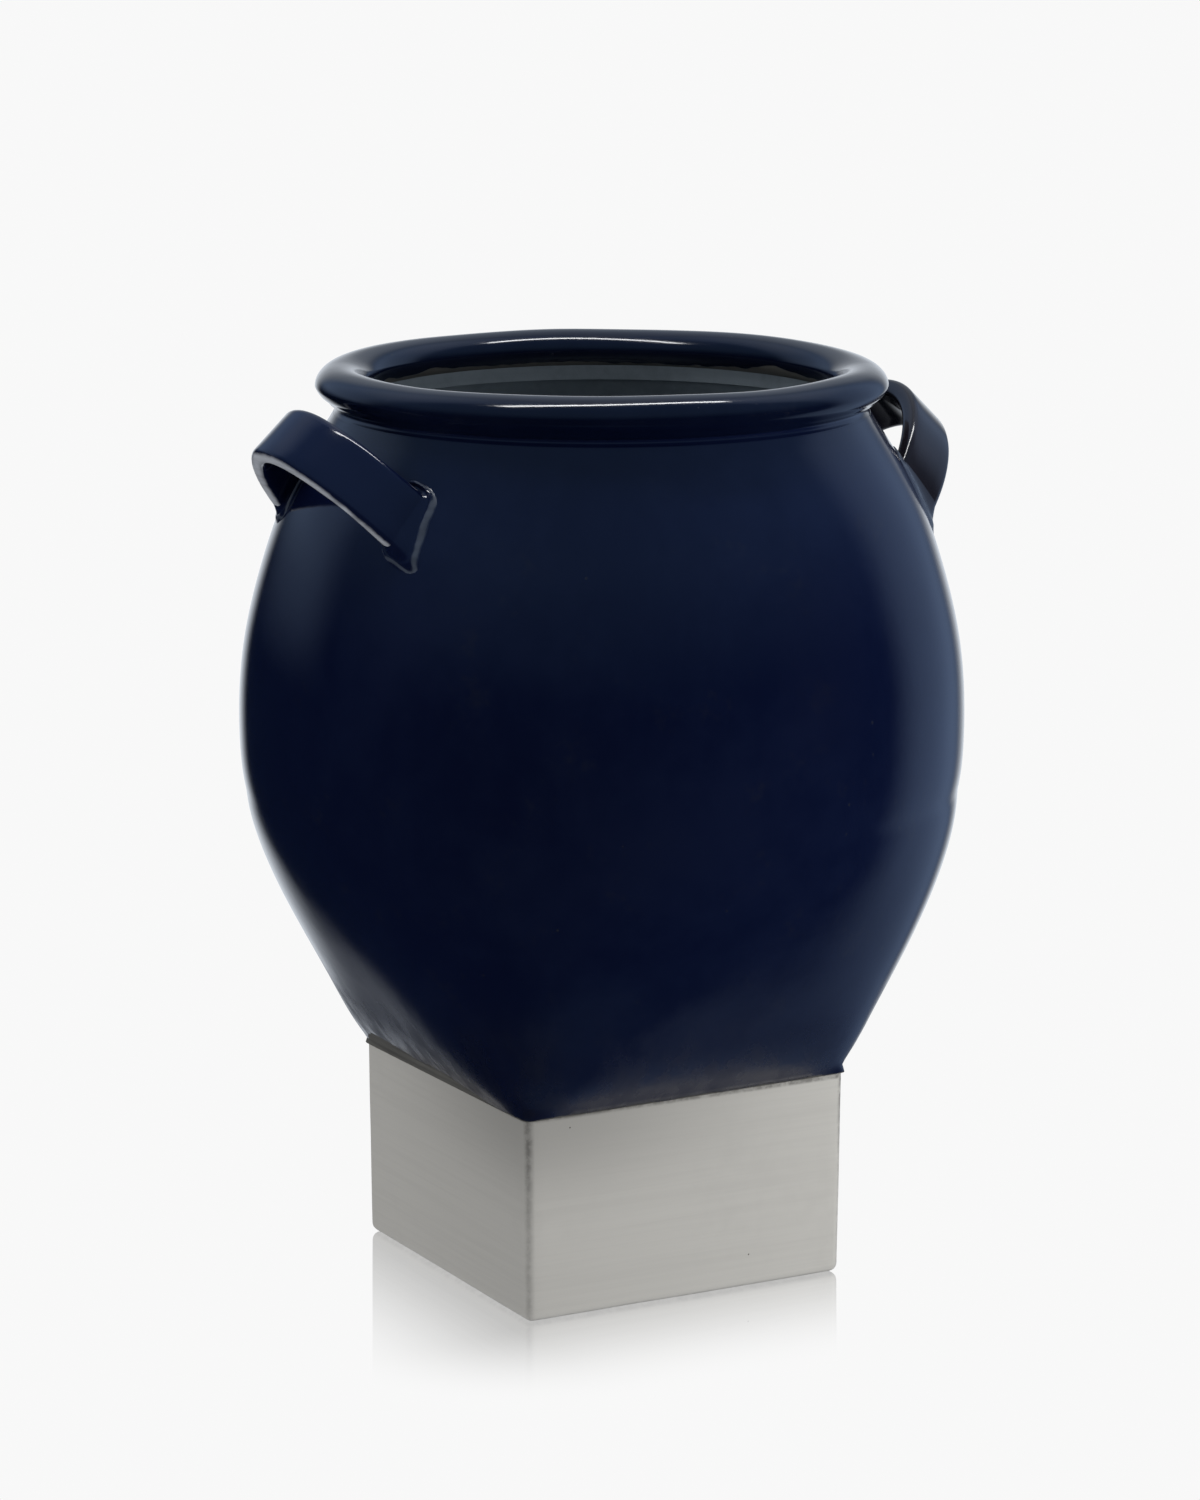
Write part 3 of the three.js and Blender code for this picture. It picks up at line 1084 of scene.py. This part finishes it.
@dataclass
class Plinth:
    """The hollow square plinth, slab built, narrowing a little to its foot."""

    slant: CreaseSlant
    wall: float = 10 * MM
    floor: float = 10 * MM
    corner: float = 4 * MM
    narrowing: float = 0.992
    nodes: tuple[str, ...] = ("plinth_floor", "plinth_wall_right", "plinth_wall_back", "plinth_wall_left",
                              "plinth_wall_front")

    def build(self) -> Piece:
        """Make the plinth and return it, tied to the frame."""
        low, high = corner_of(*self.nodes)
        clay = Clay()
        bm = clay.bm
        bmesh.ops.create_cube(bm, size=1.0)
        size = high - low
        bmesh.ops.scale(bm, vec=size, verts=bm.verts)
        bmesh.ops.translate(bm, vec=(0, 0, size.z / 2), verts=bm.verts)
        foot = [vert for vert in bm.verts if vert.co.z < size.z / 2]
        bmesh.ops.scale(bm, vec=(self.narrowing, self.narrowing, 1), verts=foot)
        rounded = [edge for edge in bm.edges if any(vert.co.z < size.z / 2 for vert in edge.verts)]
        bmesh.ops.bevel(bm, geom=rounded, offset=self.corner, offset_type="OFFSET", segments=5, profile=0.5,
                        affect="EDGES", material=-1)
        self._grid(bm, size)
        lid = [face for face in bm.faces if face.normal.z > 0.9 and face.calc_center_median().z > size.z - MM]
        well = self._well(bm, lid, size)
        wobble = HandWobble(0.5 * MM, 45 * MM, 1.7)

        def press(point: Vector) -> Vector:
            """Give the slabs their slight unevenness and slant the top with the crease."""
            share = ease(0.0, size.z, point.z)
            outward = Vector((point.x, point.y, 0)).normalized()
            side = wobble.at(point) * (1 - ease(size.z - 12 * MM, size.z, point.z))
            moved = point + outward * side
            moved.z += share * self.slant.at(point.x, point.y)
            return moved

        clay.press(press)
        finishes = [PaleSlip("plinth_slip", size.x / 2, size.z).make(), RawClay("plinth_clay").make()]
        for face in well:
            if face.is_valid:
                face.material_index = 1
        return deliver(clay.fire("slip_plinth", finishes, 35.0), "pale_slip", *self.nodes)

    @staticmethod
    def _grid(bm: bmesh.types.BMesh, size: Vector) -> None:
        """Divide the slabs so that they can be uneven.

        Args:
            bm: the plinth's mesh.
            size: its size.
        """
        for axis, count in ((2, 14), (0, 18), (1, 18)):
            normal = Vector([1.0 if i == axis else 0.0 for i in range(3)])
            start = 0.0 if axis == 2 else -size[axis] / 2
            for i in range(1, count):
                place = normal * (start + size[axis] * i / count)
                geometry = bm.verts[:] + bm.edges[:] + bm.faces[:]
                bmesh.ops.bisect_plane(bm, geom=geometry, dist=SAME_PLACE, plane_co=place, plane_no=normal)

    def _well(self, bm: bmesh.types.BMesh, lid: list[bmesh.types.BMFace],
              size: Vector) -> list[bmesh.types.BMFace]:
        """Sink the hollow into the top.

        Args:
            bm: the plinth's mesh.
            lid: the faces of its top.
            size: its size.

        Returns:
            The faces of the hollow.
        """
        bmesh.ops.inset_region(bm, faces=lid, thickness=self.wall, use_even_offset=True, use_boundary=True)
        made = bmesh.ops.extrude_face_region(bm, geom=lid)["geom"]
        bottom = [vert for vert in made if isinstance(vert, bmesh.types.BMVert)]
        bmesh.ops.translate(bm, vec=(0, 0, self.floor - size.z), verts=bottom)
        bmesh.ops.delete(bm, geom=lid, context="FACES_ONLY")
        return list({face for vert in bottom for face in vert.link_faces})


# ---------------------------------------------------------------- the studio


@dataclass
class Studio:
    """A pale floor, a long lens and soft light from above and behind."""

    foot: float
    bearing: float = math.radians(28.34)
    stand_off: float = 2.1399
    eye_height: float = 0.6723
    look_down: float = math.radians(11.704)
    lens: float = 149.35
    paper: float = 0.94
    ambient: float = 0.31
    bounce: float = 0.66
    gloom: Colour = (0.004, 0.007, 0.012, 1)
    glow: Colour = (0.080, 0.135, 0.215, 1)
    window: Colour = (0.26, 0.36, 0.55, 1)
    wall: Colour = (0.86, 0.92, 1.0, 1)

    def place(self, right: float, back: float, up: float) -> Vector:
        """Return a place given to the right of, beyond and above the vase's foot as the camera sees it."""
        c, s = math.cos(self.bearing), math.sin(self.bearing)
        return Vector((c * right + s * back, -s * right + c * back, up))

    def camera(self) -> None:
        """Set up the camera."""
        data = bpy.data.cameras.new("camera")
        data.lens = self.lens
        data.sensor_width = 36.0
        data.sensor_fit = "HORIZONTAL"
        data.clip_end = 50.0
        camera = bpy.data.objects.new("camera", data)
        camera.location = self.place(0, -self.stand_off, self.eye_height)
        camera.rotation_euler = (math.pi / 2 - self.look_down, 0, -self.bearing + math.radians(0.021))
        bpy.context.scene.collection.objects.link(camera)
        bpy.context.scene.camera = camera

    def light(self, name: str, place: Vector, target: Vector, size: tuple[float, float], power: float,
              glossy: bool = False) -> None:
        """Hang a soft box.

        Args:
            name: its name.
            place: where it hangs.
            target: what it faces.
            size: its width and height.
            power: its power in watts.
            glossy: whether the glaze mirrors it.
        """
        data = bpy.data.lights.new(name, "AREA")
        data.shape = "RECTANGLE"
        data.size, data.size_y = size
        data.energy = power
        lamp = bpy.data.objects.new(name, data)
        facing = (target - place).to_track_quat("-Z", "Y")
        lamp.matrix_world = Matrix.Translation(place) @ facing.to_matrix().to_4x4()
        lamp.visible_glossy = glossy
        lamp.visible_camera = False
        bpy.context.scene.collection.objects.link(lamp)

    def lights(self) -> None:
        """Hang the lights."""
        rim = self.place(0, 0, 0.4)
        self.light("overhead", self.place(-0.02, 0.04, 1.4), rim, (1.05, 0.09), 6.5, glossy=True)
        self.light("sky", self.place(0.0, 0.5, 2.2), rim, (2.4, 1.6), 26.0)
        self.light("right_fill", self.place(0.95, -0.35, 0.35), self.place(0, 0, 0.05), (0.5, 0.5), 6.0)
        self.light("left_fill", self.place(-2.2, -1.0, 0.9), self.place(0, 0, 0.1), (1.6, 1.6), 10.0)

    def world(self) -> None:
        """Surround the vase with a white wall behind and a dark room in front."""
        world = bpy.data.worlds.new("room")
        world.use_nodes = True
        bpy.context.scene.world = world
        world.node_tree.nodes.clear()
        sheet = NodeSheet(world.node_tree)
        direction = sheet.read("TexCoord", output="Generated")
        up = sheet.axes(direction)[2]
        ahead = sheet.dot(direction, self.place(0, 1, 0))
        aside = sheet.dot(direction, self.place(1, 0, 0))
        level = (up * up * -1.0 + 1.0).root().most(0.05)
        wall = (ahead / level).step(0.88, 0.985) * up.step(-0.9, -0.3, 0.3, 1.0)
        wall = wall * up.step(0.0, 0.30, 1.0, 0.35)
        wall = wall.most(up.step(0.45, 0.75) * ahead.step(0.10, 0.55, 0.0, 0.22))
        toward, left = ((aside * turn + ahead * 0.66) / level for turn in (0.75, -0.75))
        window = toward.step(0.86, 0.985) * up.step(-0.95, -0.2, 0.45, 1.0)
        pane = left.step(0.82, 0.985) * up.step(-0.08, 0.2, 0.0, 0.8)
        glow = up.step(0.04, 0.60).most(up.step(-0.88, -0.99, 0.0, 0.6))
        colour = sheet.mix(glow, self.gloom, self.glow)
        for share, shine in ((window, self.window), (pane, self.window), (wall, self.wall)):
            colour = sheet.mix(share, colour, shine)
        shines = ((colour, 1.0), (shade(WHITE, self.paper), 1.0), (WHITE, self.ambient))
        mirrored, seen, ambient = (sheet.read("Background", {"Color": shine, "Strength": strength})
                                   for shine, strength in shines)
        glossy, camera, singular = (sheet.read("LightPath", output=f"Is {kind} Ray")
                                    for kind in ("Glossy", "Camera", "Singular"))
        lit = sheet.read("MixShader", {0: glossy, 1: ambient, 2: mirrored})
        shown = sheet.read("MixShader", {0: camera.most(singular), 1: lit, 2: seen})
        sheet.add("OutputWorld", {"Surface": shown})

    def floor(self) -> None:
        """Lay the floor, white and polished, so that it mirrors the plinth's foot softly."""
        sheet = FinishSheet("floor_paper")
        sheet.tree.nodes.clear()
        x, y, _ = sheet.axes(sheet.point())
        beside_x, beside_y = ((abs(part) - self.foot).most(0.0) for part in (x, y))
        away = (beside_x * beside_x + beside_y * beside_y).root()
        sheen = away.step(-0.02, 0.105, 1.0, 0.0).sum("POWER", 1.3) * 0.72
        mirror = sheet.read("BsdfGlossy", {"Color": WHITE, "Roughness": 0.0})
        white, matt = (sheet.read("Emission", {"Color": WHITE, "Strength": strength})
                       for strength in (self.paper, self.bounce))
        shown = sheet.read("MixShader", {0: sheen, 1: white, 2: mirror})
        seen = sheet.read("LightPath", output="Is Camera Ray")
        surface = sheet.read("MixShader", {0: seen, 1: matt, 2: shown})
        sheet.add("OutputMaterial", {"Surface": surface})
        clay = Clay()
        bmesh.ops.create_circle(clay.bm, cap_ends=True, radius=12.0, segments=64)
        floor = clay.fire("floor", [sheet.material])
        floor.location.z = -0.2 * MM
        floor.visible_glossy = False

    def build(self) -> None:
        """Set up the whole studio."""
        view = bpy.context.scene.view_settings
        view.view_transform = "Standard"
        view.look = "None"
        self.camera()
        self.world()
        self.lights()
        self.floor()


def main() -> None:
    """Build the studio and every piece, in order."""
    Studio(foot=corner_of(*Plinth.nodes)[1].x).build()
    body = GlazedBody()
    body.build()
    ClayLining(body).build()
    GlazedNeck(body).build()
    RolledLip().build()
    navy = NavyGlaze("left_glaze")
    plum = NavyGlaze("right_glaze", pool=(0.0075, 0.0068, 0.0100, 1), cloud=(0.0120, 0.0100, 0.0140, 1))
    StrapHandle(Side.LEFT, body, chord=122 * MM, reach=91 * MM, glaze=navy, centre_y=-6 * MM).build()
    StrapHandle(Side.RIGHT, body, chord=125 * MM, reach=90.3 * MM, glaze=plum, centre_y=-3.5 * MM).build()
    Plinth(body.slant).build()


if __name__ == "__main__":
    logging.basicConfig(level=logging.INFO, format="%(name)s: %(message)s")
    main()
